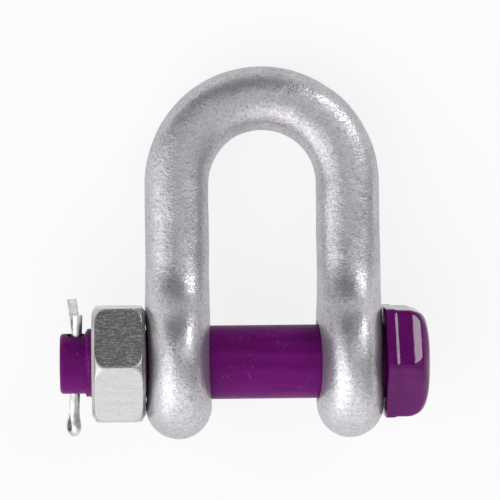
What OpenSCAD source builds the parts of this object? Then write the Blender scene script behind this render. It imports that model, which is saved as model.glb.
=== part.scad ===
// Bolt-type chain joining shackle: forged body, safety bolt, hexagon nut and split pin.
// X runs along the bolt towards its head, Y towards the crown, and Z is up from the
// surface that the shackle lies on. The origin is the middle of the bolt between the eyes.

/* [Body] */
// Diameter of the forged bar in the bow and legs
bar_d = 7.9; // [7:0.1:9]
// Clear width between the eyes
jaw_w = 13.3; // [11:0.1:17]
// Clear length from the bolt to the inside of the crown
inside_l = 24.5; // [21:0.1:34]
// Width of each eye along the bolt
eye_w = 8.15; // [7.9:0.05:9]
// Metal around each bolt hole, on the back and front of the leg
eye_wall = 4.55; // [3.6:0.05:6]
// Power of the eye's oval section, where 2 is an ellipse
eye_squareness = 2.5; // [2:0.1:3.5]
// Radius of the fillet where a leg flares out into its eye
neck_fillet = 9; // [6:0.5:14]

/* [Marking pads] */
// Depth of the flattened pads on the upper side of the bar
pad_depth = 0.25; // [0.1:0.05:0.8]
// Radius of the pads' crown, across the bar
pad_crown_r = 6; // [5:0.5:12]
// Length of each pad that runs into the flare of the neck
pad_into_neck = 1.2; // [0:0.1:3]
// Length over which a pad fades out at both of its ends
pad_fade = 4.5; // [2:0.5:8]
// Length of plain round bar between the pads, over the crown
crown_plain_l = 7.5; // [3:0.5:14]

/* [Bolt] */
// Diameter of the plain shank
shank_d = 9.2; // [7.5:0.1:10]
// Amount by which the thread is smaller than the shank
thread_relief = 0.5; // [0.2:0.1:0.8]
// Amount by which the tail is smaller than the thread
tail_relief = 1.2; // [0.8:0.1:2]
// Length of thread that stands out past the nut
thread_proud = 0.6; // [0.3:0.1:2]
// Chamfer on the end of the thread
thread_chamfer = 0.3; // [0.1:0.05:0.35]
// Length of the tail
tail_l = 3.4; // [3.2:0.1:6]
// Chamfer on the end of the tail
tail_chamfer = 0.3; // [0.1:0.05:0.6]
// Distance from the tail's end to the middle of the cross hole
hole_from_end = 2.1; // [1.5:0.1:2.2]
// Turn of the cross hole out of the plane of the bow
hole_turn = 15; // [0:1:45]

/* [Bolt head] */
// Width across the flats of the head, below its shoulder
head_af = 13.4; // [12.5:0.1:16]
// Width across the flats at the outer end of the head, before its rounding
head_top_af = 11.8; // [10.5:0.1:12.4]
// Height of the head
head_h = 5.6; // [5:0.1:8]
// Height of the shoulder, where the flats begin to lean in
head_shoulder_h = 3.1; // [1.5:0.1:4]
// Radius on the six corners of the head
head_corner_r = 0.8; // [0.3:0.1:1.5]
// Diameter of the flat on the outer end of the head, inside its rounding
head_face_d = 6; // [4:0.1:9]
// Length of the rounding at the outer end of the head
head_round_l = 4; // [2.5:0.1:4.5]
// Power of the rounding, where 2 is an ellipse
head_round_power = 2.5; // [2:0.1:3.5]
// Chamfer round the underside of the head
head_under_chamfer = 0.2; // [0.1:0.05:0.4]
// Turn of the head about the bolt
head_turn = 6.5; // [0:0.1:30]

/* [Nut] */
// Width across the flats of the nut
nut_af = 14.1; // [13.3:0.1:17]
// Height of the nut
nut_h = 6.7; // [5:0.1:9]
// Diameter of the flat on both ends of the nut, inside its chamfers
nut_face_d = 13.1; // [12:0.1:13.2]
// Angle of the chamfers on the nut's ends
nut_chamfer_angle = 37; // [15:1:45]
// Chamfer at both mouths of the thread
nut_mouth_chamfer = 0.5; // [0.2:0.1:0.8]
// Turn of the nut about the bolt
nut_turn = 4.1; // [0:0.1:30]

/* [Split pin] */
// Diameter of the split pin, across both of its half-round legs
pin_d = 1.3; // [1:0.05:1.6]
// Gap between the flats of the two legs
pin_gap = 0.08; // [0.04:0.02:0.2]
// Inner radius of the ring
ring_inner_r = 0.7; // [0.4:0.05:1]
// Radius of the necks between the legs and the ring
ring_neck_r = 3.5; // [1.2:0.1:6]
// Distance from the tail to the point where the ring opens
ring_drop = 2; // [0.5:0.1:4]
// Length of the short leg past the tail
short_leg_l = 2.5; // [1.5:0.1:5]
// Length of the long leg past its bend
long_leg_l = 3.9; // [2:0.1:7]
// Bend of the long leg
leg_bend = 22; // [5:1:60]
// Bend radius on the flat of the long leg
leg_bend_r = 1.5; // [1:0.1:3]
// Lean of the split pin in its loose hole
pin_lean = 2.4; // [0:0.1:2.5]
// Turn of the split pin about its own length
pin_twist = 26; // [0:1:90]

/* [Clearances] */
// Radial clearance of the shank in the eyes
bore_clearance = 0.35; // [0.2:0.05:0.8]
// Radial clearance of the nut on the thread
thread_clearance = 0.1; // [0.05:0.01:0.15]
// Radial clearance of the split pin in its hole
hole_clearance = 0.3; // [0.25:0.05:0.4]
// Gap between the nut and its eye
nut_gap = 0.1; // [0.05:0.05:0.5]
// Gap between the head and its eye
head_gap = 0.1; // [0.05:0.05:0.5]
// Length of the shank's end that stays inside its eye, so that the nut can seat
shank_setback = 0.4; // [0.2:0.1:1]

/* [Hidden] */
$fn = 64;

// Body sizes
bar_r = bar_d / 2;
shank_r = shank_d / 2;
bore_r = shank_r + bore_clearance;
eye_r = bore_r + eye_wall;
bow_r = jaw_w / 2 + eye_w / 2;
bow_y = inside_l + shank_r - (bow_r - bar_r);
leg_out = jaw_w / 2 + eye_w;
bore_overrun = 1;

// The eye's end is a half-round as wide as the eye, centred this far below the bolt
eye_end_r = eye_w / 2;
eye_flank = eye_r - eye_end_r;
// Height where the neck's fillet meets the bar, and where it meets the eye's circle
neck_y = sqrt((eye_r + neck_fillet) ^ 2 - (bar_r + neck_fillet) ^ 2);
eye_tangent_y = eye_r * neck_y / (eye_r + neck_fillet);

// Pads, measured along the middle of the bar from the bolt
quarter_bow_l = bow_r * PI / 2;
pad_low = neck_y - pad_into_neck;
pad_high = bow_y + quarter_bow_l - crown_plain_l / 2;

// The shackle lies on its two eyes and its crown, so its plane slopes by this angle
rest_slope = asin((eye_r - bar_r) / (bow_y + bow_r));

// Bolt sizes along X
thread_r = shank_r - thread_relief / 2;
tail_r = thread_r - tail_relief / 2;
nut_seat_x = -(leg_out + nut_gap);
shank_end_x = -(leg_out - shank_setback);
thread_end_x = nut_seat_x - nut_h - thread_proud;
tail_end_x = thread_end_x - tail_l;
hole_x = tail_end_x + hole_from_end;
hole_r = pin_d / 2 + pin_gap / 2 + hole_clearance;
head_seat_x = leg_out + head_gap;

// Steps of the body's surface: rings along the bar and points around it
cap_steps = 6;
eye_steps = 8;
neck_steps = 9;
straight_steps = 5;
bow_steps = 24;
ring_points = 32;

// Steps of the rounding on the head
head_round_steps = 10;

// Steps of the split pin's wire
pin_neck_steps = 6;
pin_ring_steps = 20;
pin_bend_steps = 4;
wire_points = 11;

// Heights of the rings up one leg, from just above the eye's end to just below the bow
leg_heights = concat(
    [for (i = [1 : cap_steps]) -eye_flank - eye_end_r * cos(90 * i / cap_steps)],
    [for (i = [1 : eye_steps]) -eye_flank + (eye_tangent_y + eye_flank) * i / eye_steps],
    [for (i = [1 : neck_steps]) eye_tangent_y + (neck_y - eye_tangent_y) * i / neck_steps],
    [for (i = [1 : straight_steps - 1]) neck_y + (bow_y - neck_y) * i / straight_steps]
);

// Each ring is [angle round the bow, height of its centre]
body_rings = concat(
    [for (y = leg_heights) [0, y]],
    [for (i = [0 : bow_steps]) [180 * i / bow_steps, bow_y]],
    [for (i = [len(leg_heights) - 1 : -1 : 0]) [180, leg_heights[i]]]
);

// The split pin stands on Z with its short leg on +X; the bolt's axis crosses its origin.
// Its path follows the flat of the half-round wire, as [x, z, angle of the round side]
pin_flat_x = pin_gap / 2;
ring_open_z = -(tail_r + ring_drop);
neck_sweep = acos((ring_neck_r + pin_flat_x) / (ring_neck_r + ring_inner_r));
ring_z = ring_open_z - (ring_neck_r + ring_inner_r) * sin(neck_sweep);

// One neck, from its leg down to the ring
neck_path = [
    for (i = [0 : pin_neck_steps])
    let (a = neck_sweep * i / pin_neck_steps)
    [pin_flat_x + ring_neck_r - ring_neck_r * cos(a), ring_open_z - ring_neck_r * sin(a), a]
];

wire_path = concat(
    [[pin_flat_x, tail_r + short_leg_l, 0]],
    neck_path,
    [
        for (i = [1 : pin_ring_steps])
        let (a = neck_sweep - (180 + 2 * neck_sweep) * i / pin_ring_steps)
        [ring_inner_r * cos(a), ring_z + ring_inner_r * sin(a), a]
    ],
    [
        for (i = [pin_neck_steps - 1 : -1 : 0])
        [-neck_path[i][0], neck_path[i][1], 180 - neck_path[i][2]]
    ],
    [
        for (i = [0 : pin_bend_steps])
        let (a = leg_bend * i / pin_bend_steps)
        [-pin_flat_x - leg_bend_r * (1 - cos(a)), tail_r + leg_bend_r * sin(a), 180 + a]
    ],
    [[
        -pin_flat_x - leg_bend_r * (1 - cos(leg_bend)) - long_leg_l * sin(leg_bend),
        tail_r + leg_bend_r * sin(leg_bend) + long_leg_l * cos(leg_bend),
        180 + leg_bend
    ]]
);

function wire_section(step) = [
    for (k = [0 : wire_points - 1])
    let (
        a = 180 * k / (wire_points - 1) - 90,
        out = pin_d / 2 * cos(a)
    )
    [step[0] + out * cos(step[2]), pin_d / 2 * sin(a), step[1] + out * sin(step[2])]
];

function signed_power(v, p) = sign(v) * pow(abs(v), p);

// How far a section has grown from the round bar to the full eye, from 0 to 1
function eye_share(half_depth) = max(0, half_depth - bar_r) / (eye_r - bar_r);

function leg_half_width(y) =
    y < 0 ? sqrt(max(0, eye_end_r ^ 2 - max(0, -y - eye_flank) ^ 2))
    : bar_r + (eye_end_r - bar_r) * eye_share(leg_half_depth(y));

function leg_half_depth(y) =
    y < eye_tangent_y ? sqrt(max(0, eye_r ^ 2 - y ^ 2))
    : y < neck_y ? bar_r + neck_fillet - sqrt(neck_fillet ^ 2 - (neck_y - y) ^ 2)
    : bar_r;

function section_power(half_depth) = 2 + (eye_squareness - 2) * eye_share(half_depth);

// Distance of a ring from the bolt along the middle of the bar, on either leg
function distance_along(ring) = ring[1] + bow_r * min(ring[0], 180 - ring[0]) * PI / 180;

// How much of a pad is there, from 0 past its ends to 1 along its middle
function pad_share(along) =
    let (s = min(1, max(0, min(along - pad_low, pad_high - along) / pad_fade)))
    s ^ 2 * (3 - 2 * s);

// Height of a pad's crowned floor across the bar
function pad_floor(side) = bar_r - pad_depth - side ^ 2 / (2 * pad_crown_r);

function ring_at(ring) =
    let (
        half_depth = leg_half_depth(ring[1]),
        half_width = leg_half_width(ring[1]),
        power = 2 / section_power(half_depth),
        pad = pad_share(distance_along(ring))
    )
    [
        for (k = [0 : ring_points - 1])
        let (
            a = 360 * k / ring_points,
            side = half_width * signed_power(cos(a), power),
            rise = half_depth * signed_power(sin(a), power),
            z = rise > 0 ? rise - pad * max(0, rise - pad_floor(side)) : rise,
            r = bow_r + side
        )
        [r * cos(ring[0]), ring[1] + r * sin(ring[0]), z]
    ];

// Everything is drawn in the plane of the bow, then laid on its eyes and crown
module laid_down() {
    rotate([-rest_slope, 0, 0]) children();
}

// Turns a shape that stands on Z so that it lies along X
module along_bolt(x = 0, turn = 0) {
    translate([x, 0, 0]) rotate([turn, 0, 0]) rotate([0, 90, 0]) children();
}

module forged_bar() {
    rings = [for (ring = body_rings) each ring_at(ring)];
    last = len(body_rings) - 1;
    first_pole = len(rings);
    second_pole = first_pole + 1;
    points = concat(rings, [[bow_r, -eye_r, 0], [-bow_r, -eye_r, 0]]);
    sides = [
        for (j = [0 : last - 1], k = [0 : ring_points - 1])
        let (
            next = (k + 1) % ring_points,
            a = j * ring_points + k,
            b = j * ring_points + next,
            c = a + ring_points,
            d = b + ring_points
        )
        each [[a, b, d], [a, d, c]]
    ];
    ends = [
        for (k = [0 : ring_points - 1])
        let (next = (k + 1) % ring_points, top = last * ring_points)
        each [[first_pole, next, k], [second_pole, top + k, top + next]]
    ];
    polyhedron(points = points, faces = concat(sides, ends));
}

module shackle_body() {
    color("gainsboro") laid_down() difference() {
        forged_bar();
        along_bolt() cylinder(r = bore_r, h = 2 * (leg_out + bore_overrun), center = true);
    }
}

// Outline of the bolt's turned length, from the tail's end to inside the head
module turned_outline() {
    polygon([
        [0, tail_end_x],
        [tail_r - tail_chamfer, tail_end_x],
        [tail_r, tail_end_x + tail_chamfer],
        [tail_r, thread_end_x],
        [thread_r - thread_chamfer, thread_end_x],
        [thread_r, thread_end_x + thread_chamfer],
        [thread_r, shank_end_x],
        [shank_r, shank_end_x],
        [shank_r, head_seat_x + head_h / 2],
        [0, head_seat_x + head_h / 2]
    ]);
}

// Outline that rounds the head at its outer end and chamfers its underside
module head_outline() {
    widest_r = head_af / 2 / cos(30);
    face_r = head_face_d / 2;
    rounding = [
        for (i = [0 : head_round_steps])
        let (
            a = 90 * i / head_round_steps,
            out = pow(cos(a), 2 / head_round_power),
            up = pow(sin(a), 2 / head_round_power)
        )
        [face_r + (widest_r - face_r) * out, head_h - head_round_l * (1 - up)]
    ];
    polygon(concat([[0, 0], [head_af / 2, 0], [widest_r, head_under_chamfer]], rounding, [[0, head_h]]));
}

module head_hexagon() {
    flat_r = head_af / 2 - head_corner_r;
    offset(r = head_corner_r, $fn = 32) circle(r = flat_r / cos(30), $fn = 6);
}

module bolt_head() {
    along_bolt(head_seat_x, head_turn) intersection() {
        union() {
            linear_extrude(height = head_shoulder_h) head_hexagon();
            translate([0, 0, head_shoulder_h])
                linear_extrude(height = head_h - head_shoulder_h, scale = head_top_af / head_af)
                    head_hexagon();
        }
        rotate_extrude() head_outline();
    }
}

module safety_bolt() {
    color("purple") laid_down() difference() {
        union() {
            along_bolt() rotate_extrude() turned_outline();
            bolt_head();
        }
        translate([hole_x, 0, 0]) rotate([hole_turn, 0, 0]) rotate([90, 0, 0])
            cylinder(r = hole_r, h = 2 * shank_d, center = true);
    }
}

// Outline that chamfers both ends of the nut
module nut_outline() {
    corner_r = nut_af / 2 / cos(30);
    face_r = nut_face_d / 2;
    chamfer_x = (corner_r - face_r) * tan(nut_chamfer_angle);
    polygon([
        [0, 0],
        [face_r, 0],
        [corner_r, chamfer_x],
        [corner_r, nut_h - chamfer_x],
        [face_r, nut_h],
        [0, nut_h]
    ]);
}

// Outline of the nut's bore, opened at both mouths
module nut_bore_outline() {
    nut_bore_r = thread_r + thread_clearance;
    mouth_r = nut_bore_r + nut_mouth_chamfer;
    polygon([
        [0, 0],
        [mouth_r, 0],
        [nut_bore_r, nut_mouth_chamfer],
        [nut_bore_r, nut_h - nut_mouth_chamfer],
        [mouth_r, nut_h],
        [0, nut_h]
    ]);
}

module hex_nut() {
    color("silver") laid_down() along_bolt(nut_seat_x - nut_h, nut_turn) difference() {
        intersection() {
            cylinder(r = nut_af / 2 / cos(30), h = nut_h, $fn = 6);
            rotate_extrude() nut_outline();
        }
        rotate_extrude() nut_bore_outline();
    }
}

module bent_wire() {
    rows = [for (step = wire_path) each wire_section(step)];
    last = len(wire_path) - 1;
    sides = [
        for (j = [0 : last - 1], k = [0 : wire_points - 1])
        let (
            next = (k + 1) % wire_points,
            a = j * wire_points + k,
            b = j * wire_points + next,
            c = a + wire_points,
            d = b + wire_points
        )
        each [[a, b, d], [a, d, c]]
    ];
    start_face = [for (k = [wire_points - 1 : -1 : 0]) k];
    end_face = [for (k = [0 : wire_points - 1]) last * wire_points + k];
    polyhedron(points = rows, faces = concat(sides, [start_face, end_face]));
}

module split_pin() {
    color("lightgray") laid_down() translate([hole_x, 0, 0])
        rotate([hole_turn, 0, 0]) rotate([0, 0, -pin_lean])
            rotate([-90, 0, 0]) rotate([0, 0, pin_twist - 90]) bent_wire();
}

shackle_body();
safety_bolt();
hex_nut();
split_pin();
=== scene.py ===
import math

import bmesh
import bpy
import numpy as np
from mathutils import Matrix, Vector, noise


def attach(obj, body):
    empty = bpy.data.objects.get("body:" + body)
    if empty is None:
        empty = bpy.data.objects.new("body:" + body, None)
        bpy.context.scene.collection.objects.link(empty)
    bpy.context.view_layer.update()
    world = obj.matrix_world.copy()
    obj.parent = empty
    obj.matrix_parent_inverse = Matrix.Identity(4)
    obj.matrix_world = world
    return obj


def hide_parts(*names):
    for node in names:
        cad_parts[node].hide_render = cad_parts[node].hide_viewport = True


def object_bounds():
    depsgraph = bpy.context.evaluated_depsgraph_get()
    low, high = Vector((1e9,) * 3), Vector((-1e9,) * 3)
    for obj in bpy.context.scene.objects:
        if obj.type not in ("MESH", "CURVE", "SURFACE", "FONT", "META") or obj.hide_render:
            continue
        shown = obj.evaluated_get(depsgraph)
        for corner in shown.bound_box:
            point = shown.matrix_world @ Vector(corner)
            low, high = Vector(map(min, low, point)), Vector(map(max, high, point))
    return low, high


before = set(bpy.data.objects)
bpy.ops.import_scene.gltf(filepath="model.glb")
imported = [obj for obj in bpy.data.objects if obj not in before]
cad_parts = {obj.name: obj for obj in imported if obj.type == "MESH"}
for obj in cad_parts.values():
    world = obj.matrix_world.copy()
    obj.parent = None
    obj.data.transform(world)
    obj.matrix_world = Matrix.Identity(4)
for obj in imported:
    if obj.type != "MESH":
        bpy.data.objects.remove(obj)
cadLow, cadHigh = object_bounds()
print("frame loaded,", len(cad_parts), "solids")

mm = 0.001
weldGap = 1e-6  # metres: points nearer than this become one
scene = bpy.context.scene
scene.view_settings.view_transform = "Standard"


# Small helpers for node trees

def addNode(tree, kind, **settings):
    node = tree.nodes.new(kind)
    for name, value in settings.items():
        setattr(node, name, value)
    return node


def plug(tree, socket, value):
    if isinstance(value, bpy.types.NodeSocket):
        tree.links.new(value, socket)
    else:
        socket.default_value = value


def calc(tree, operation, *values):
    node = addNode(tree, "ShaderNodeMath", operation=operation)
    for socket, value in zip(node.inputs, values):
        plug(tree, socket, value)
    return node.outputs[0]


def spread(tree, value, low, high, toLow=0.0, toHigh=1.0):
    node = addNode(tree, "ShaderNodeMapRange", interpolation_type="SMOOTHSTEP")
    for socket, item in zip(node.inputs, (value, low, high, toLow, toHigh)):
        plug(tree, socket, item)
    return node.outputs[0]


def apart(tree, vector):
    node = addNode(tree, "ShaderNodeSeparateXYZ")
    plug(tree, node.inputs[0], vector)
    return node.outputs


def together(tree, x, y, z):
    node = addNode(tree, "ShaderNodeCombineXYZ")
    for socket, value in zip(node.inputs, (x, y, z)):
        plug(tree, socket, value)
    return node.outputs[0]


def startTree(name, sizes):
    tree = bpy.data.node_groups.new(name, "GeometryNodeTree")
    side = tree.interface
    side.new_socket("Geometry", in_out="INPUT", socket_type="NodeSocketGeometry")
    for label, kind in sizes:
        side.new_socket(label, in_out="INPUT", socket_type="NodeSocket" + kind)
    side.new_socket("Geometry", in_out="OUTPUT", socket_type="NodeSocketGeometry")
    return tree, tree.nodes.new("NodeGroupInput").outputs


def endTree(tree, geometry, material):
    realize = addNode(tree, "GeometryNodeRealizeInstances")
    paint = addNode(tree, "GeometryNodeSetMaterial")
    out = addNode(tree, "NodeGroupOutput")
    plug(tree, realize.inputs["Geometry"], geometry)
    plug(tree, paint.inputs["Geometry"], realize.outputs["Geometry"])
    plug(tree, paint.inputs["Material"], material)
    plug(tree, out.inputs[0], paint.outputs["Geometry"])


# Small helpers for meshes

def between(start, end, step):
    # even stops from start up to, but without, end
    count = max(1, round(abs(end - start) / step))
    return [start + (end - start) * i / count for i in range(count)]


def meshFrom(name, points, edges=(), faces=()):
    mesh = bpy.data.meshes.new(name)
    mesh.from_pydata([tuple(p) for p in points], list(edges), list(faces))
    mesh.update()
    return mesh


def stripFrom(name, points):
    return meshFrom(name, points, edges=[(i, i + 1) for i in range(len(points) - 1)])


def linked(name, mesh):
    piece = bpy.data.objects.new(name, mesh)
    scene.collection.objects.link(piece)
    return piece


def settled(piece):
    # live modifiers become a plain mesh
    graph = bpy.context.evaluated_depsgraph_get()
    graph.update()
    mesh = bpy.data.meshes.new_from_object(piece.evaluated_get(graph), depsgraph=graph)
    piece.modifiers.clear()
    old = piece.data
    piece.data = mesh
    mesh.name = piece.name
    bpy.data.meshes.remove(old)


def runTree(name, mesh, tree, sizes):
    piece = linked(name, mesh)
    build = piece.modifiers.new("build", "NODES")
    build.node_group = tree
    names = {s.name: s.identifier for s in tree.interface.items_tree if s.in_out == "INPUT"}
    for label, value in sizes.items():
        build[names[label]] = value
    settled(piece)
    return piece


def cutAway(piece, cutterMesh):
    cutter = linked("cutter", cutterMesh)
    cut = piece.modifiers.new("cut", "BOOLEAN")
    cut.operation = "DIFFERENCE"
    cut.solver = "EXACT"
    cut.object = cutter
    settled(piece)
    bpy.data.objects.remove(cutter)
    bpy.data.meshes.remove(cutterMesh)


def closedUp(mesh):
    shape = bmesh.new()
    shape.from_mesh(mesh)
    bmesh.ops.remove_doubles(shape, verts=shape.verts, dist=weldGap)
    bmesh.ops.dissolve_degenerate(shape, edges=shape.edges, dist=weldGap)
    bmesh.ops.recalc_face_normals(shape, faces=shape.faces)
    shape.to_mesh(mesh)
    shape.free()


def smoothed(piece, angle):
    mesh = piece.data
    mesh.shade_smooth()
    mesh.set_sharp_from_angle(angle=math.radians(angle))


def finishedWith(piece, *finishes):
    piece.data.materials.clear()
    for finish in finishes:
        piece.data.materials.append(finish)


def turnedMesh(name, outline, segments):
    # plain solid of revolution about X, used for the cutters
    points = []
    faces = []
    for x, r in outline:
        for s in range(segments):
            a = 2 * math.pi * s / segments
            points.append((x, -r * math.sin(a), r * math.cos(a)))
    for i in range(len(outline) - 1):
        for s in range(segments):
            t = (s + 1) % segments
            faces.append((i * segments + s, i * segments + t, (i + 1) * segments + t, (i + 1) * segments + s))
    faces.append(tuple(range(segments - 1, -1, -1)))
    faces.append(tuple(range((len(outline) - 1) * segments, len(outline) * segments)))
    mesh = meshFrom(name, points, faces=faces)
    closedUp(mesh)
    return mesh


# Finishes: sizes and depths of their grain are in millimetres

def startFinish(name):
    material = bpy.data.materials.new(name)
    material.use_nodes = True
    tree = material.node_tree
    tree.nodes.clear()
    shader = addNode(tree, "ShaderNodeBsdfPrincipled")
    out = addNode(tree, "ShaderNodeOutputMaterial")
    tree.links.new(shader.outputs[0], out.inputs[0])
    place = addNode(tree, "ShaderNodeTexCoord").outputs["Object"]
    return material, tree, shader, place


def speckle(tree, place, size, detail=2.0, rough=0.5, stretch=None):
    if stretch:
        drawn = addNode(tree, "ShaderNodeMapping")
        drawn.inputs["Scale"].default_value = stretch
        plug(tree, drawn.inputs["Vector"], place)
        place = drawn.outputs[0]
    node = addNode(tree, "ShaderNodeTexNoise")
    plug(tree, node.inputs["Vector"], place)
    node.inputs["Scale"].default_value = 1 / (size * mm)
    node.inputs["Detail"].default_value = detail
    node.inputs["Roughness"].default_value = rough
    return node.outputs["Fac"]


def blendColour(tree, factor, first, second):
    node = addNode(tree, "ShaderNodeMix", data_type="RGBA")
    plug(tree, node.inputs[0], factor)
    for socket, item in ((node.inputs[6], first), (node.inputs[7], second)):
        plug(tree, socket, item if isinstance(item, bpy.types.NodeSocket) else (*item, 1.0))
    return node.outputs[2]


def bumpFrom(tree, height, depth, before=None):
    node = addNode(tree, "ShaderNodeBump")
    node.inputs["Strength"].default_value = 1.0
    node.inputs["Distance"].default_value = depth * mm
    plug(tree, node.inputs["Height"], height)
    if before:
        plug(tree, node.inputs["Normal"], before)
    return node.outputs[0]


softEdge = (0.3, 0.7)  # an edge is the two noise levels between which a patch fades in

zincLook = {
    "pale": (0.71, 0.695, 0.728), "dull": (0.50, 0.489, 0.516), "pit": (0.24, 0.233, 0.25),
    "cloudSize": 4.5, "cloudEdge": (0.32, 0.68), "cloudShare": 0.35,
    "grainSize": 0.38, "grainEdge": (0.32, 0.68), "grainShare": 0.65,
    "dotSize": 0.34, "dotEdge": (0.58, 0.66), "dotShare": 0.55,
    "metallic": 0.86, "glossEdge": (0.1, 0.9), "roughLow": 0.29, "roughHigh": 0.41, "edgeTint": 0.8,
    "barFrom": 9.0, "barTo": 14.0, "barDuller": 0.04, "barPaintedShade": 0.17,  # the bar is rougher than the eyes, and its colour is darkened towards the pit colour as painted shade
    "bumps": ((2.4, 0.085), (0.7, 0.045), (0.24, 0.05)),  # size and depth of lumps, grit and fine grain
}


def hotDipZinc(look):
    material, tree, shader, place = startFinish("galvanisedForging")
    cloud = spread(tree, speckle(tree, place, look["cloudSize"], 3.0), *look["cloudEdge"])
    grain = spread(tree, speckle(tree, place, look["grainSize"], 2.0, 0.6), *look["grainEdge"])
    dots = spread(tree, speckle(tree, place, look["dotSize"], 2.0, 0.6), *look["dotEdge"])
    fine = calc(tree, "MULTIPLY", grain, look["grainShare"])
    mix = calc(tree, "MULTIPLY_ADD", cloud, look["cloudShare"], fine)
    tone = blendColour(tree, mix, look["dull"], look["pale"])
    tone = blendColour(tree, calc(tree, "MULTIPLY", dots, look["dotShare"]), tone, look["pit"])
    onBar = spread(tree, apart(tree, place)["Y"], look["barFrom"] * mm, look["barTo"] * mm)
    # painted shade: over the bar and bow the zinc's colour is mixed towards the dark pit colour
    tone = blendColour(tree, calc(tree, "MULTIPLY", onBar, look["barPaintedShade"]), tone, look["pit"])
    plug(tree, shader.inputs["Base Color"], tone)
    shader.inputs["Metallic"].default_value = look["metallic"]
    gloss = spread(tree, mix, *look["glossEdge"], look["roughHigh"], look["roughLow"])
    plug(tree, shader.inputs["Roughness"], calc(tree, "MULTIPLY_ADD", onBar, look["barDuller"], gloss))
    shader.inputs["Specular Tint"].default_value = (look["edgeTint"], look["edgeTint"], look["edgeTint"], 1.0)
    surface = None
    for size, depth in look["bumps"]:
        surface = bumpFrom(tree, speckle(tree, place, size), depth, surface)
    plug(tree, shader.inputs["Normal"], surface)
    return material


paintLook = {  # shared by the head and the shank
    "glossSize": 1.1, "roughSpread": 0.08,
    "sagSize": 1.8, "sagDepth": 0.035, "peelSize": 0.35, "peelDepth": 0.006,
}
headLook = {
    **paintLook, "deep": (0.104, 0.0036, 0.101), "bright": (0.142, 0.0066, 0.146),
    "cloudSize": 3.0, "stretch": None, "rough": 0.06, "shine": 0.195,
}
shankLook = {
    **paintLook, "deep": (0.113, 0.0036, 0.111), "bright": (0.142, 0.0052, 0.147),
    "cloudSize": 0.9, "stretch": (0.10, 1.0, 1.0), "rough": 0.34, "shine": 0.07,
    "scuff": (0.30, 0.085, 0.30), "scuffShare": 0.5,
    "markSize": 0.36, "markEdge": (0.57, 0.66), "patchSize": 2.6, "patchEdge": (0.46, 0.60),
}


def purplePaint(name, look):
    material, tree, shader, place = startFinish(name)
    cloud = spread(tree, speckle(tree, place, look["cloudSize"], 3.0, 0.5, look["stretch"]), *softEdge)
    tone = blendColour(tree, cloud, look["deep"], look["bright"])
    if "scuff" in look:  # small pale marks in a few patches
        marks = spread(tree, speckle(tree, place, look["markSize"], 3.0, 0.7), *look["markEdge"])
        patches = speckle(tree, place, look["patchSize"])
        patches = spread(tree, patches, *look["patchEdge"], 0.0, look["scuffShare"])
        tone = blendColour(tree, calc(tree, "MULTIPLY", marks, patches), tone, look["scuff"])
    plug(tree, shader.inputs["Base Color"], tone)
    uneven = speckle(tree, place, look["glossSize"])
    gloss = spread(tree, uneven, *softEdge, look["rough"], look["rough"] + look["roughSpread"])
    plug(tree, shader.inputs["Roughness"], gloss)
    shader.inputs["Specular IOR Level"].default_value = look["shine"]
    sag = bumpFrom(tree, speckle(tree, place, look["sagSize"], 1.0), look["sagDepth"])
    peel = bumpFrom(tree, speckle(tree, place, look["peelSize"]), look["peelDepth"], sag)
    plug(tree, shader.inputs["Normal"], peel)
    return material


nutLook = {
    "pale": (0.57, 0.57, 0.56), "dull": (0.50, 0.50, 0.49), "speck": (0.25, 0.25, 0.25),
    "roughLow": 0.19, "roughHigh": 0.29, "speckSize": 0.20, "speckEdge": (0.66, 0.74), "speckShare": 0.35,
    "streakSize": 0.13, "streakStretch": (0.10, 1.0, 1.0), "streakShare": 0.6, "streakDepth": 0.055,
    "broadSize": 0.34, "broadStretch": (0.05, 1.0, 1.0), "broadShare": 0.4,
    "grainSize": 0.22, "grainDepth": 0.014,
}


def brightZinc(look):
    material, tree, shader, place = startFinish("brightZinc")
    streak = speckle(tree, place, look["streakSize"], 2.0, 0.6, look["streakStretch"])
    broad = speckle(tree, place, look["broadSize"], 2.0, 0.5, look["broadStretch"])
    specks = spread(tree, speckle(tree, place, look["speckSize"], 1.0), *look["speckEdge"])
    fine = calc(tree, "MULTIPLY", streak, look["streakShare"])
    mix = calc(tree, "MULTIPLY_ADD", broad, look["broadShare"], fine)
    tone = blendColour(tree, spread(tree, mix, *softEdge), look["dull"], look["pale"])
    tone = blendColour(tree, calc(tree, "MULTIPLY", specks, look["speckShare"]), tone, look["speck"])
    plug(tree, shader.inputs["Base Color"], tone)
    shader.inputs["Metallic"].default_value = 1.0
    gloss = spread(tree, mix, *softEdge, look["roughHigh"], look["roughLow"])
    plug(tree, shader.inputs["Roughness"], gloss)
    lines = bumpFrom(tree, streak, look["streakDepth"])
    grain = bumpFrom(tree, speckle(tree, place, look["grainSize"]), look["grainDepth"], lines)
    plug(tree, shader.inputs["Normal"], grain)
    return material


wireLook = {
    "pale": (0.72, 0.71, 0.705), "dull": (0.52, 0.51, 0.51), "rough": 0.34, "roughSpread": 0.1,
    "cloudSize": 0.7, "grainSize": 0.3, "grainDepth": 0.012,
}


def pinWire(look):
    material, tree, shader, place = startFinish("pinWire")
    cloud = spread(tree, speckle(tree, place, look["cloudSize"], 3.0), *softEdge)
    plug(tree, shader.inputs["Base Color"], blendColour(tree, cloud, look["dull"], look["pale"]))
    shader.inputs["Metallic"].default_value = 1.0
    gloss = spread(tree, cloud, 0.0, 1.0, look["rough"] + look["roughSpread"], look["rough"])
    plug(tree, shader.inputs["Roughness"], gloss)
    grain = bumpFrom(tree, speckle(tree, place, look["grainSize"]), look["grainDepth"])
    plug(tree, shader.inputs["Normal"], grain)
    return material


zincFinish = hotDipZinc(zincLook)
headFinish = purplePaint("glossyPurplePaint", headLook)
shankFinish = purplePaint("rubbedPurplePaint", shankLook)
nutFinish = brightZinc(nutLook)
wireFinish = pinWire(wireLook)
print("finishes ready")


# Forged body: a bar that flares into two eyes, swept round the bow

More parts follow.
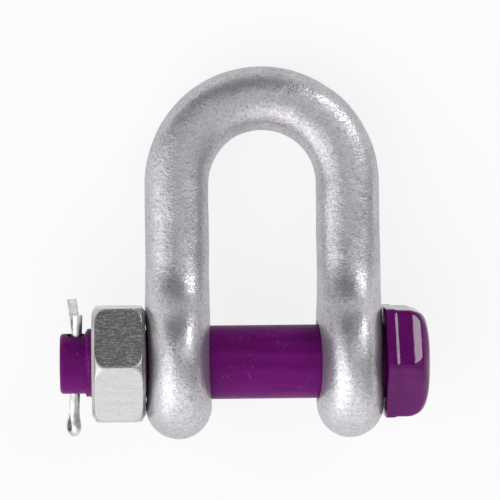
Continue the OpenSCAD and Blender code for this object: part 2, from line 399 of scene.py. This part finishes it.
forging = {
    "barRadius": 3.95, "eyeRadius": 9.5, "eyeHalfWidth": 4.075, "eyeSquareness": 2.5,
    "bowRadius": 10.725, "bowStart": 22.325, "neckFillet": 9.0,
    "padDepth": 0.25, "padLow": 12.0, "padHigh": 35.4, "padFade": 4.5, "padCrown": 6.0, "padSoft": 0.7,
    "boreRadius": 4.95, "boreEnd": 17.0, "boreSegments": 120,
    "flare": 0.22, "flareFrom": 2.98, "flareLimit": 1.3,  # flareFrom is from the middle of an eye
    "flareStarts": (-15.2, -7.75), "flareLength": 1.8, "flareStep": 0.3,
    "dents": ((5.5, 0.070), (2.0, 0.030)),  # size and depth of the forging's unevenness
    "dentPlace": (3.1, 7.7, 1.3), "inset": 0.03,  # place in the noise, and how far all of it sinks
    "ringPoints": 128, "fineRing": 1441, "step": 0.24, "tip": 4.5, "tipStops": 26, "sharpAngle": 38,
}
# the shackle lies on its eyes and its crown
lieHeight = forging["eyeRadius"] - forging["barRadius"]
restSlope = math.asin(lieHeight / (forging["bowStart"] + forging["bowRadius"]))
layDown = Matrix.Rotation(-restSlope, 4, "X")


def barSection(f, y):
    # half width, half depth and share of the eye in the bar's section at this place along a leg
    bar, eye, fillet = f["barRadius"], f["eyeRadius"], f["neckFillet"]
    neck = math.sqrt((eye + fillet) ** 2 - (bar + fillet) ** 2)
    if y < neck * eye / (eye + fillet):
        depth = math.sqrt(max(0.0, eye ** 2 - y ** 2))
    elif y < neck:
        depth = bar + fillet - math.sqrt(fillet ** 2 - (neck - y) ** 2)
    else:
        depth = bar
    share = max(0.0, depth - bar) / (eye - bar)
    wide = f["eyeHalfWidth"]
    width = bar + (wide - bar) * share
    if y < 0:
        width = math.sqrt(max(0.0, wide ** 2 - max(0.0, -y - eye + wide) ** 2))
    return width, depth, share


def evenRing(f, width, depth, share):
    # evenly spaced points round a section that is squarer in the eye
    power = 2 / (2 + (f["eyeSquareness"] - 2) * share)
    a = np.linspace(0, 2 * math.pi, f["fineRing"])
    u = width * np.sign(np.cos(a)) * np.abs(np.cos(a)) ** power
    z = depth * np.sign(np.sin(a)) * np.abs(np.sin(a)) ** power
    run = np.concatenate([[0], np.cumsum(np.hypot(np.diff(u), np.diff(z)))])
    even = np.linspace(0, run[-1], f["ringPoints"] + 1)[:-1]
    return np.interp(even, run, u), np.interp(even, run, z)


def padded(f, u, z, along):
    # a crowned pad with soft edges on the front of each leg
    bar, soft = f["barRadius"], f["padSoft"]
    share = min(1.0, max(0.0, min(along - f["padLow"], f["padHigh"] - along) / f["padFade"]))
    crown = np.where(z > 0, bar - f["padDepth"] - u ** 2 / (2 * f["padCrown"]), 2 * bar)
    near = np.maximum(soft - np.abs(z - crown), 0) / soft
    pad = np.minimum(z, crown) - near ** 3 * soft / 6
    return z + (pad - z) * share ** 2 * (3 - 2 * share)


def barRing(f, theta, y):
    u, z = evenRing(f, *barSection(f, y))
    z = padded(f, u, z, y + f["bowRadius"] * min(theta, math.pi - theta))
    r = f["bowRadius"] + u
    return np.stack([r * math.cos(theta), y + r * math.sin(theta), z], axis=1)


def forgedBody(f):
    eye, bow, n = f["eyeRadius"], f["bowRadius"], f["ringPoints"]
    legStops = [-eye + f["tip"] * (i / f["tipStops"]) ** 2 for i in range(1, f["tipStops"])]
    legStops += between(-eye + f["tip"], f["bowStart"], f["step"])
    bowCount = round(math.pi * bow / f["step"])
    stops = [(0.0, y) for y in legStops]
    stops += [(math.pi * i / bowCount, f["bowStart"]) for i in range(bowCount + 1)]
    stops += [(math.pi, y) for y in reversed(legStops)]
    rings = np.concatenate([barRing(f, *stop) for stop in stops])
    poles = [(bow, -eye, 0.0), (-bow, -eye, 0.0)]
    faces = []
    for j in range(len(stops) - 1):
        for k in range(n):
            a, b = j * n + k, j * n + (k + 1) % n
            faces.append((a, b, b + n, a + n))
    first, last = len(rings), (len(stops) - 1) * n
    for k in range(n):
        faces.append((first, (k + 1) % n, k))
        faces.append((first + 1, last + k, last + (k + 1) % n))
    mesh = meshFrom("shackleForging", list(rings) + poles, faces=faces)
    for vertex, normal in zip(mesh.vertices, [v.normal.copy() for v in mesh.vertices]):
        rise = 0.0
        for size, depth in f["dents"]:
            rise += depth * noise.noise(vertex.co / size + Vector(f["dentPlace"]))
        vertex.co += normal * (rise - f["inset"])
    mesh.transform(Matrix.Scale(mm, 4))
    closedUp(mesh)
    return mesh


def boreCutter(f):
    # one round bar through both eyes, wider at each mouth
    stops = [-f["boreEnd"]]
    for start in f["flareStarts"]:
        stops += between(start, start + f["flareLength"], f["flareStep"])
    outline = []
    for x in stops:
        away = max(0.0, abs(abs(x) - f["bowRadius"]) - f["flareFrom"])
        outline.append((x * mm, (f["boreRadius"] + f["flare"] * min(away, f["flareLimit"]) ** 2) * mm))
    outline += [(-x, r) for x, r in reversed(outline)]
    return turnedMesh("boreCutter", outline, f["boreSegments"])


body = linked("shackleForging", forgedBody(forging))
cutAway(body, boreCutter(forging))
body.data.transform(layDown)
finishedWith(body, zincFinish)
smoothed(body, forging["sharpAngle"])
print("forged body", len(body.data.polygons), "faces")


# Turned and hexagonal pieces: one tree turns an outline about X and flattens a length of it

def turnedTree():
    tree, size = startTree("turnedWithHexagon", (
        ("Segments", "Int"), ("Points", "Int"), ("Hex From", "Float"), ("Hex To", "Float"),
        ("Half Flat", "Float"), ("Shoulder Half Flat", "Float"), ("Shoulder Slope", "Float"),
        ("Shoulder Softness", "Float"), ("End Round From", "Float"), ("End Round Radius", "Float"),
        ("Lip Height", "Float"), ("Lip Width", "Float"), ("Hex Turn", "Float"),
        ("Corner Softness", "Float"), ("Edge Softness", "Float"),
        ("Thread From", "Float"), ("Thread To", "Float"), ("Thread Pitch", "Float"),
        ("Thread Radius", "Float"), ("Thread Depth", "Float"),
        ("Waviness", "Float"), ("Wave Size", "Float"), ("Finish", "Material")))

    def do(operation, *values):
        return calc(tree, operation, *values)

    def outside(value, low, high):
        inside = do("MULTIPLY", do("GREATER_THAN", value, low), do("LESS_THAN", value, high))
        return do("SUBTRACT", 1.0, inside)

    # a grid with one column for each point of the outline and one row for each step of the turn
    grid = addNode(tree, "GeometryNodeMeshGrid")
    plug(tree, grid.inputs["Vertices X"], do("ADD", size["Segments"], 1))
    plug(tree, grid.inputs["Vertices Y"], size["Points"])
    index = addNode(tree, "GeometryNodeInputIndex").outputs[0]
    onOutline = do("FLOORED_MODULO", index, size["Points"])
    onTurn = do("FLOOR", do("DIVIDE", do("ADD", index, 0.5), size["Points"]))
    angle = do("DIVIDE", do("MULTIPLY", onTurn, 2 * math.pi), size["Segments"])
    sine, cosine = do("SINE", angle), do("COSINE", angle)
    sample = addNode(tree, "GeometryNodeSampleIndex", data_type="FLOAT_VECTOR", domain="POINT")
    plug(tree, sample.inputs["Geometry"], size["Geometry"])
    plug(tree, sample.inputs["Value"], addNode(tree, "GeometryNodeInputPosition").outputs[0])
    plug(tree, sample.inputs["Index"], onOutline)
    point = apart(tree, sample.outputs[0])
    x, r = point["X"], point["Z"]

    # cosine of the angle from the nearest flat, eased at the corners
    fromCorner = do("FLOORED_MODULO", do("SUBTRACT", angle, size["Hex Turn"]), math.pi / 3)
    fromFlat = do("ABSOLUTE", do("SUBTRACT", fromCorner, math.pi / 6))
    nextFlat = do("SUBTRACT", math.pi / 3, fromFlat)
    reach = do("SMOOTH_MAX", do("COSINE", fromFlat), do("COSINE", nextFlat), size["Corner Softness"])

    # the flats slope in over the shoulder, round off at the end and stand out at the lip
    fromTop = do("SUBTRACT", size["Hex To"], x)
    shoulder = do("MULTIPLY_ADD", fromTop, size["Shoulder Slope"], size["Shoulder Half Flat"])
    pastEnd = do("MAXIMUM", do("SUBTRACT", x, size["End Round From"]), 0.0)
    endDrop = do("DIVIDE", do("MULTIPLY", pastEnd, pastEnd), do("MULTIPLY", size["End Round Radius"], 2.0))
    shoulder = do("SUBTRACT", shoulder, endDrop)
    taper = do("SMOOTH_MIN", size["Half Flat"], shoulder, size["Shoulder Softness"])
    lipEnd = do("ADD", size["Hex From"], size["Lip Width"])
    lipRun = do("MULTIPLY", size["Lip Height"], 4.0)  # it falls away over four times its height
    taper = do("ADD", taper, spread(tree, x, do("SUBTRACT", lipEnd, lipRun), lipEnd, size["Lip Height"], 0.0))

    # slow waves over the flats, then the outline is held inside the hexagon
    ripple = addNode(tree, "ShaderNodeTexNoise")
    plug(tree, ripple.inputs["Scale"], do("DIVIDE", 1.0, size["Wave Size"]))
    ripple.inputs["Detail"].default_value = 1.0
    onFlats = together(tree, x, do("MULTIPLY", sine, taper), do("MULTIPLY", cosine, taper))
    plug(tree, ripple.inputs["Vector"], onFlats)
    levelNoise = 0.62  # noise of this level leaves the flat where it is
    wave = do("MULTIPLY", do("SUBTRACT", ripple.outputs["Fac"], levelNoise), size["Waviness"])
    hexagon = do("ADD", do("DIVIDE", taper, reach), wave)
    hexagon = do("ADD", hexagon, outside(x, size["Hex From"], size["Hex To"]))
    r = do("SMOOTH_MIN", r, hexagon, size["Edge Softness"])

    # right-hand thread
    turns = do("SUBTRACT", do("DIVIDE", angle, 2 * math.pi), do("DIVIDE", x, size["Thread Pitch"]))
    tooth = do("ABSOLUTE", do("MULTIPLY_ADD", do("FRACT", turns), 2.0, -1.0))
    crest, root = 0.22, 0.92  # where the flank of a tooth starts and ends
    groove = do("MULTIPLY", spread(tree, tooth, crest, root), size["Thread Depth"])
    flank = do("SUBTRACT", size["Thread Radius"], groove)
    r = do("MINIMUM", r, do("ADD", flank, outside(x, size["Thread From"], size["Thread To"])))

    move = addNode(tree, "GeometryNodeSetPosition")
    plug(tree, move.inputs["Geometry"], grid.outputs["Mesh"])
    spot = together(tree, x, do("MULTIPLY", do("MULTIPLY", r, sine), -1.0), do("MULTIPLY", r, cosine))
    plug(tree, move.inputs["Position"], spot)
    weld = addNode(tree, "GeometryNodeMergeByDistance")
    plug(tree, weld.inputs["Geometry"], move.outputs["Geometry"])
    weld.inputs["Distance"].default_value = weldGap
    endTree(tree, weld.outputs["Geometry"], size["Finish"])
    return tree


lathe = turnedTree()

# lengths that leave out the shoulder, the rounded end, the lip and the thread
plainLengths = {
    "Shoulder Half Flat": 20.0, "Shoulder Softness": 0.1, "End Round From": 50.0, "End Round Radius": 1.0,
    "Lip Height": 0.0, "Lip Width": 1.0, "Thread From": 60.0, "Thread To": 61.0,
    "Thread Pitch": 1.0, "Thread Radius": 20.0, "Thread Depth": 0.0,
}


def turnedPiece(name, outline, lengths, sizes, finish):
    strip = stripFrom(name, [(x * mm, 0.0, r * mm) for x, r in outline])
    inputs = {label: value * mm for label, value in {**plainLengths, **lengths}.items()}
    inputs.update({
        "Segments": sizes["segments"], "Points": len(outline),
        "Hex Turn": math.radians(sizes["turn"]), "Corner Softness": sizes["cornerSoftness"],
        "Shoulder Slope": sizes["shoulderSlope"], "Finish": finish})
    piece = runTree(name, strip, lathe, inputs)
    closedUp(piece.data)
    return piece


# Safety bolt: hexagon head with a shoulder and a rounded end, plain shank, thread and turned-down tail

boltSizes = {
    "shank": 4.6, "shankEnd": -14.4, "shankStep": 0.5, "shankRelief": 0.05, "shankLead": 0.2,
    "thread": 4.35, "threadEnd": -22.2, "threadChamfer": 0.32, "threadCurl": 1.4,
    "threadPitch": 1.5875, "threadDepth": 0.24, "threadStep": 0.08,
    "tail": 3.75, "tailEnd": -25.42, "tailRound": 0.45, "tailStep": 0.12, "tailFace": (0.0, 1.2, 2.4),
    "seat": 14.9, "height": 5.54, "seatFace": (5.2, 5.8, 6.3), "seatFillet": 0.06, "underChamfer": 0.06,
    "halfFlat": 6.63, "halfFlatTop": 5.87, "shoulderSlope": 0.315, "shoulderSoftness": 0.12, "rim": 0.2,
    "lip": 0.16, "lipWidth": 1.6, "edgeSoftness": 0.40, "waviness": 0.11, "waveSize": 2.6, "headStep": 0.1,
    "lead": 0.1, "hair": 0.005, "overshoot": 0.05,  # small distances that keep stops and cuts off the corners
    "roundFrom": 1.5, "roundInner": 3.0, "roundPower": 2.5, "endRoundFrom": 4.2, "endRound": 0.83,
    "holeX": -23.5, "holeRadius": 0.99, "holeTurn": 15, "holeSegments": 48,
    "holeFlare": 0.22, "flareDepth": 0.8, "flareLimit": 1.2, "flareStops": (-1.0, -0.1, 0.1, 0.3, 0.5, 0.8),
    "turn": 6.5, "cornerSoftness": 0.04, "segments": 240, "sharpAngle": 35,
}


def tailLine(b):
    # flat end, rounded edge and the plain tail
    tail, end, edge = b["tail"], b["tailEnd"], b["tailRound"]
    line = [(end, r) for r in b["tailFace"]]
    for i in range(7):
        a = math.radians(15 * i)
        line.append((end + edge * (1 - math.cos(a)), tail - edge * (1 - math.sin(a))))
    stop = b["threadEnd"] - b["tailStep"]
    return line + [(x, tail) for x in between(end + edge + b["lead"], stop, b["tailStep"])]


def shankLine(b):
    # eased end of the thread, its full length and the plain shank
    tail, thread, shank, relief = b["tail"], b["thread"], b["shank"], b["shankRelief"]
    start, end = b["threadEnd"], b["shankEnd"]
    line = []
    for i in range(6):
        x = start - b["lead"] + b["threadChamfer"] * (i / 5) ** b["threadCurl"]
        line.append((x, tail + (thread - tail) * i / 5))
    stop = end - relief - 2 * b["hair"]
    line += [(x, thread) for x in between(start + b["threadChamfer"], stop, b["threadStep"])]
    line += [(end - relief, thread), (end, thread + relief), (end + b["shankLead"], shank)]
    stop = b["seat"] - b["lead"]
    return line + [(x, shank) for x in between(end + b["shankStep"], stop, b["shankStep"])]


def headLine(b):
    # underside, then side and end on a superellipse that the hexagon is cut from
    seat, top, flat = b["seat"], b["seat"] + b["height"], b["halfFlat"]
    line = [(seat - b["seatFillet"], b["shank"]), (seat, b["shank"] + b["seatFillet"])]
    line += [(seat, r) for r in (*b["seatFace"], flat - b["rim"])]
    widest = flat / math.cos(math.pi / 6)
    for i in range(7):
        rise = b["underChamfer"] * i / 6
        line.append((seat + 2 * b["hair"] + rise, flat + (widest - flat) * i / 6))
    outer, inner = widest + b["rim"], b["roundInner"]
    start, power = seat + b["roundFrom"], 2 / b["roundPower"]
    line += [(x, outer) for x in between(seat + b["underChamfer"] + b["headStep"], start, b["headStep"])]
    for i in range(57):
        a = math.pi / 2 * i / 56
        x = start + (top - start) * math.sin(a) ** power
        line.append((x, inner + (outer - inner) * math.cos(a) ** power))
    return line + [(top, inner * (1 - i / 6)) for i in range(1, 7)]


def acrossTail(b):
    # takes the Y axis to the axis of the cross hole
    return Matrix.Translation((b["holeX"] * mm, 0, 0)) @ Matrix.Rotation(math.radians(b["holeTurn"]), 4, "X")


def holeCutter(b):
    steps = []
    for depth in b["flareStops"]:  # below the tail's surface
        away = min(max(0.0, b["flareDepth"] - depth), b["flareLimit"])
        steps.append(((depth - b["tail"]) * mm, (b["holeRadius"] + b["holeFlare"] * away ** 2) * mm))
    steps += [(-z, r) for z, r in reversed(steps)]
    mesh = turnedMesh("holeCutter", steps, b["holeSegments"])
    mesh.transform(acrossTail(b) @ Matrix.Rotation(math.pi / 2, 4, "Z"))
    return mesh


def safetyBolt(b):
    seat, hair = b["seat"], b["hair"]
    piece = turnedPiece("safetyBolt", tailLine(b) + shankLine(b) + headLine(b), {
        "Hex From": seat + hair, "Hex To": seat + b["height"] + b["overshoot"],
        "Half Flat": b["halfFlat"], "Shoulder Half Flat": b["halfFlatTop"],
        "Shoulder Softness": b["shoulderSoftness"], "Edge Softness": b["edgeSoftness"],
        "End Round From": seat + b["endRoundFrom"], "End Round Radius": b["endRound"],
        "Lip Height": b["lip"], "Lip Width": b["lipWidth"],
        "Thread From": b["threadEnd"] + hair, "Thread To": b["shankEnd"] - 2 * hair,
        "Thread Pitch": b["threadPitch"], "Thread Radius": b["thread"], "Thread Depth": b["threadDepth"],
        "Waviness": b["waviness"], "Wave Size": b["waveSize"]}, b, shankFinish)
    cutAway(piece, holeCutter(b))
    finishedWith(piece, shankFinish, headFinish)
    for face in piece.data.polygons:  # the head has the glossy paint
        face.material_index = int(face.center.x > (seat - 2 * hair) * mm)
    return piece


bolt = safetyBolt(boltSizes)
bolt.data.transform(layDown)
smoothed(bolt, boltSizes["sharpAngle"])
print("safety bolt", len(bolt.data.polygons), "faces")


# Hexagon nut, eased over on both faces, with a plain bore round the bolt's thread

nutSizes = {
    "seat": -14.81, "height": 6.65, "halfFlat": 7.05, "bore": 4.45, "mouth": 0.5, "boreStep": 0.14,
    "faceRadius": 6.5, "faceStep": 0.4, "sideStep": 0.2, "ease": 0.38, "easeCurl": 1.15, "easePower": 3.5,
    "faceLead": 0.3, "sideLead": 0.15, "rim": 0.1, "hexReach": 50.0,
    "edgeSoftness": 0.22, "waviness": 0.015, "waveSize": 2.5, "shoulderSlope": 0.0,
    "turn": 4.1, "cornerSoftness": 0.030, "segments": 240, "sharpAngle": 30,
}


def nutOutline(n):
    low, high, bore, mouth = n["seat"] - n["height"], n["seat"], n["bore"], n["mouth"]
    toCorner = 1 / math.cos(math.pi / 6)
    widest = n["halfFlat"] * toCorner + n["rim"]
    face = between(bore + mouth + n["faceLead"], n["faceRadius"], n["faceStep"])
    line = [(x, bore) for x in between(high - mouth, low + mouth, n["boreStep"])]
    line += [(low + mouth * (1 - i / 3), bore + mouth * i / 3) for i in range(4)]
    line += [(low, r) for r in face]
    side = []
    for i in range(31):  # ends eased over, far more at the corners than along the flats
        r = n["faceRadius"] + (widest - n["faceRadius"]) * i / 30
        flat = min(1.0, (r - n["faceRadius"]) / (n["halfFlat"] - n["faceRadius"]))
        corner = max(0.0, r - n["halfFlat"]) / (n["halfFlat"] * (toCorner - 1))
        side.append((low + n["ease"] * flat + n["easeCurl"] * corner ** n["easePower"], r))
    middle = (low + high) / 2
    start = side[-1][0] + n["sideLead"]
    side += [(x, widest + n["rim"]) for x in between(start, middle, n["sideStep"])]
    line += side + [(2 * middle - x, r) for x, r in reversed(side)]
    line += [(high, r) for r in reversed(face)]
    line += [(high - mouth * i / 3, bore + mouth * (1 - i / 3)) for i in range(4)]
    return line + [line[0]]


nut = turnedPiece("hexNut", nutOutline(nutSizes), {
    "Hex From": -nutSizes["hexReach"], "Hex To": nutSizes["hexReach"],  # flats from end to end
    "Half Flat": nutSizes["halfFlat"], "Edge Softness": nutSizes["edgeSoftness"],
    "Waviness": nutSizes["waviness"], "Wave Size": nutSizes["waveSize"]}, nutSizes, nutFinish)
nut.data.transform(layDown)
smoothed(nut, nutSizes["sharpAngle"])
print("hexagon nut", len(nut.data.polygons), "faces")


# Split pin: half-round wire swept along a bent path

pinSizes = {
    "wire": 1.3, "edgeRadius": 0.14, "gap": 0.08, "ringInner": 0.7, "ringNeck": 3.5, "ringDrop": 2.0,
    "shortLeg": 2.5, "longLeg": 3.9, "legBend": 22, "bendRadius": 1.5, "legStep": 0.4,
    "lean": 2.4, "twist": 26, "sharpAngle": 45,
}


def wirePath(p, tail):
    flat, inner, neckRadius, step = p["gap"] / 2, p["ringInner"], p["ringNeck"], p["legStep"]
    sweep = math.acos((neckRadius + flat) / (neckRadius + inner))
    openZ = -(tail + p["ringDrop"])
    ringZ = openZ - (neckRadius + inner) * math.sin(sweep)
    neck = []
    for i in range(13):
        a = sweep * i / 12
        neck.append((flat + neckRadius * (1 - math.cos(a)), openZ - neckRadius * math.sin(a)))
    # short leg, round the ring and back up
    path = [(flat, z) for z in between(tail + p["shortLeg"], openZ, step)] + neck
    for i in range(1, 40):
        a = sweep - (math.pi + 2 * sweep) * i / 40
        path.append((inner * math.cos(a), ringZ + inner * math.sin(a)))
    path += [(-x, z) for x, z in reversed(neck)]
    path += [(-flat, z) for z in between(openZ, tail, step)[1:]]
    # long leg, bent away above the tail
    bend = math.radians(p["legBend"])
    for i in range(11):
        a = bend * i / 10
        path.append((-flat - p["bendRadius"] * (1 - math.cos(a)), tail + p["bendRadius"] * math.sin(a)))
    lastX, lastZ = path[-1]
    for s in between(0, p["longLeg"], step)[1:] + [p["longLeg"]]:
        path.append((lastX - s * math.sin(bend), lastZ + s * math.cos(bend)))
    return path


def wireTree():
    tree, size = startTree("halfRoundWire", (
        ("Wire Radius", "Float"), ("Edge Radius", "Float"), ("Finish", "Material")))
    curve = addNode(tree, "GeometryNodeMeshToCurve")
    plug(tree, curve.inputs["Mesh"], size["Geometry"])
    upright = addNode(tree, "GeometryNodeSetCurveNormal", mode="Z_UP")
    plug(tree, upright.inputs["Curve"], curve.outputs["Curve"])
    arc = addNode(tree, "GeometryNodeCurveArc", mode="RADIUS")
    arc.inputs["Resolution"].default_value = 18
    plug(tree, arc.inputs["Radius"], size["Wire Radius"])
    arc.inputs["Start Angle"].default_value = math.pi / 2  # round side away from the other leg
    arc.inputs["Sweep Angle"].default_value = math.pi
    loop = addNode(tree, "GeometryNodeSetSplineCyclic")
    plug(tree, loop.inputs["Geometry"], arc.outputs["Curve"])
    loop.inputs["Cyclic"].default_value = True
    eased = addNode(tree, "GeometryNodeFilletCurve", mode="POLY")
    plug(tree, eased.inputs["Curve"], loop.outputs["Geometry"])
    plug(tree, eased.inputs["Radius"], size["Edge Radius"])
    eased.inputs["Count"].default_value = 3
    eased.inputs["Limit Radius"].default_value = True
    swept = addNode(tree, "GeometryNodeCurveToMesh")
    plug(tree, swept.inputs["Curve"], upright.outputs["Curve"])
    plug(tree, swept.inputs["Profile Curve"], eased.outputs["Curve"])
    swept.inputs["Fill Caps"].default_value = True
    endTree(tree, swept.outputs["Mesh"], size["Finish"])
    return tree


def bentPin(p, b):
    strip = stripFrom("splitPin", [(x * mm, z * mm, 0.0) for x, z in wirePath(p, b["tail"])])
    piece = runTree("splitPin", strip, wireTree(), {
        "Wire Radius": p["wire"] / 2 * mm, "Edge Radius": p["edgeRadius"] * mm, "Finish": wireFinish})
    closedUp(piece.data)
    lean = Matrix.Rotation(math.radians(-p["lean"]), 4, "Z") @ Matrix.Rotation(-math.pi / 2, 4, "X")
    twist = Matrix.Rotation(math.radians(p["twist"] - 90), 4, "Z")
    standUp = Matrix.Rotation(math.pi / 2, 4, "X")  # the path's second axis becomes Z
    piece.data.transform(layDown @ acrossTail(b) @ lean @ twist @ standUp)
    closedUp(piece.data)
    return piece


pin = bentPin(pinSizes, boltSizes)
smoothed(pin, pinSizes["sharpAngle"])
print("split pin", len(pin.data.polygons), "faces")


# Each piece rides its body and stands for its solid

for piece, node, bodyName, slotName in (
        (body, "shackle_body", "shackle", "galvanised_forging"),
        (bolt, "safety_bolt", "bolt", "purple_paint"),
        (nut, "hex_nut", "nut", "bright_zinc"),
        (pin, "split_pin", "split_pin", "pin_wire")):
    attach(piece, bodyName)
    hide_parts(node)


# Pale floor under the lowest point of the part

floorLook = {"half": 0.9, "grey": 0.90, "glowShare": 0.82}


def paleFloor(look):
    material = bpy.data.materials.new("paleFloor")
    material.use_nodes = True
    tree = material.node_tree
    tree.nodes.clear()
    matt = addNode(tree, "ShaderNodeBsdfDiffuse")
    matt.inputs["Color"].default_value = (look["grey"], look["grey"], look["grey"], 1)
    glow = addNode(tree, "ShaderNodeEmission")
    glow.inputs["Strength"].default_value = 1.0
    path = addNode(tree, "ShaderNodeLightPath").outputs
    mirrored = calc(tree, "MAXIMUM", path["Is Glossy Ray"], path["Is Transmission Ray"])
    seen = calc(tree, "MAXIMUM", path["Is Camera Ray"], mirrored)
    mix = addNode(tree, "ShaderNodeMixShader")
    plug(tree, mix.inputs[0], calc(tree, "MULTIPLY", seen, look["glowShare"]))
    plug(tree, mix.inputs[1], matt.outputs[0])
    plug(tree, mix.inputs[2], glow.outputs[0])
    out = addNode(tree, "ShaderNodeOutputMaterial")
    plug(tree, out.inputs[0], mix.outputs[0])
    return material


half = floorLook["half"]
floorCorners = [(x, y, cadLow.z) for x, y in ((-half, -half), (half, -half), (half, half), (-half, half))]
floorMesh = meshFrom("floor", floorCorners, faces=[(0, 1, 2, 3)])
floorMesh.materials.append(paleFloor(floorLook))
linked("floor", floorMesh)


# Soft light from one side of the world, and three lamps

worldLook = {"dark": 0.17, "bright": 1.60, "towards": (-0.35, -0.94, 0.0), "fade": (-0.45, 0.85)}


def studioWorld(look):
    world = bpy.data.worlds.new("studio")
    world.use_nodes = True
    tree = world.node_tree
    tree.nodes.clear()
    sky = addNode(tree, "ShaderNodeBackground")
    side = addNode(tree, "ShaderNodeVectorMath", operation="DOT_PRODUCT")
    plug(tree, side.inputs[0], addNode(tree, "ShaderNodeTexCoord").outputs["Generated"])
    side.inputs[1].default_value = look["towards"]
    level = spread(tree, side.outputs["Value"], *look["fade"], look["dark"], look["bright"])
    plug(tree, sky.inputs["Strength"], level)
    plug(tree, addNode(tree, "ShaderNodeOutputWorld").inputs[0], sky.outputs[0])
    return world


scene.world = studioWorld(worldLook)

# direction along the shackle's own axes, distance, size and brightness of each lamp
lamps = {
    "tallSoftbox": {"towards": (-0.75, -0.35, 0.56), "distance": 0.50, "size": (0.66, 0.90), "glow": 0.88},
    "rightSoftbox": {"towards": (0.54, 0.28, 0.79), "distance": 0.55, "size": (0.78, 0.28), "glow": 0.94},
    "smallSoftbox": {"towards": (0.64, 0.609, 0.469), "distance": 0.45, "size": (0.12, 0.068), "glow": 16.5},
}
lying = layDown.to_3x3()
lampAim = lying @ Vector((0, 13 * mm, 0))  # about the middle of the shackle
for name, lamp in lamps.items():
    light = bpy.data.lights.new(name, "AREA")
    light.shape = "RECTANGLE"
    light.size, light.size_y = lamp["size"]
    light.energy = lamp["glow"] * math.pi * lamp["size"][0] * lamp["size"][1]
    holder = bpy.data.objects.new(name, light)
    scene.collection.objects.link(holder)
    towards = (lying @ Vector(lamp["towards"])).normalized()
    across = (lying @ Vector((0, 1, 0))).cross(towards).normalized()
    facing = Matrix((across, towards.cross(across), towards)).transposed().to_4x4()
    holder.matrix_world = Matrix.Translation(lampAim + towards * lamp["distance"]) @ facing


# Camera, square on to the shackle's plane but for a few degrees

view = {
    "yaw": 2.6, "pitch": 2.5, "roll": 0.62, "right": -1.6, "up": 13.98,
    "distance": 340.0, "frameWidth": 62.5, "sensor": 36,
}
yaw, pitch, roll = (math.radians(view[k]) for k in ("yaw", "pitch", "roll"))
right = Vector((math.cos(yaw), 0, math.sin(yaw)))
up = Vector((-math.sin(yaw) * math.sin(pitch), math.cos(pitch), math.cos(yaw) * math.sin(pitch)))
back = right.cross(up)
cameraData = bpy.data.cameras.new("camera")
cameraData.sensor_width = view["sensor"]
cameraData.lens = view["sensor"] * view["distance"] / view["frameWidth"]
cameraData.clip_end = 10
camera = bpy.data.objects.new("camera", cameraData)
scene.collection.objects.link(camera)
target = right * view["right"] + up * view["up"]
axes = Matrix((lying @ (right * math.cos(roll) - up * math.sin(roll)),
               lying @ (right * math.sin(roll) + up * math.cos(roll)), lying @ back)).transposed()
camera.matrix_world = Matrix.Translation(lying @ ((target + back * view["distance"]) * mm)) @ axes.to_4x4()
scene.camera = camera
print("floor, light and camera set")
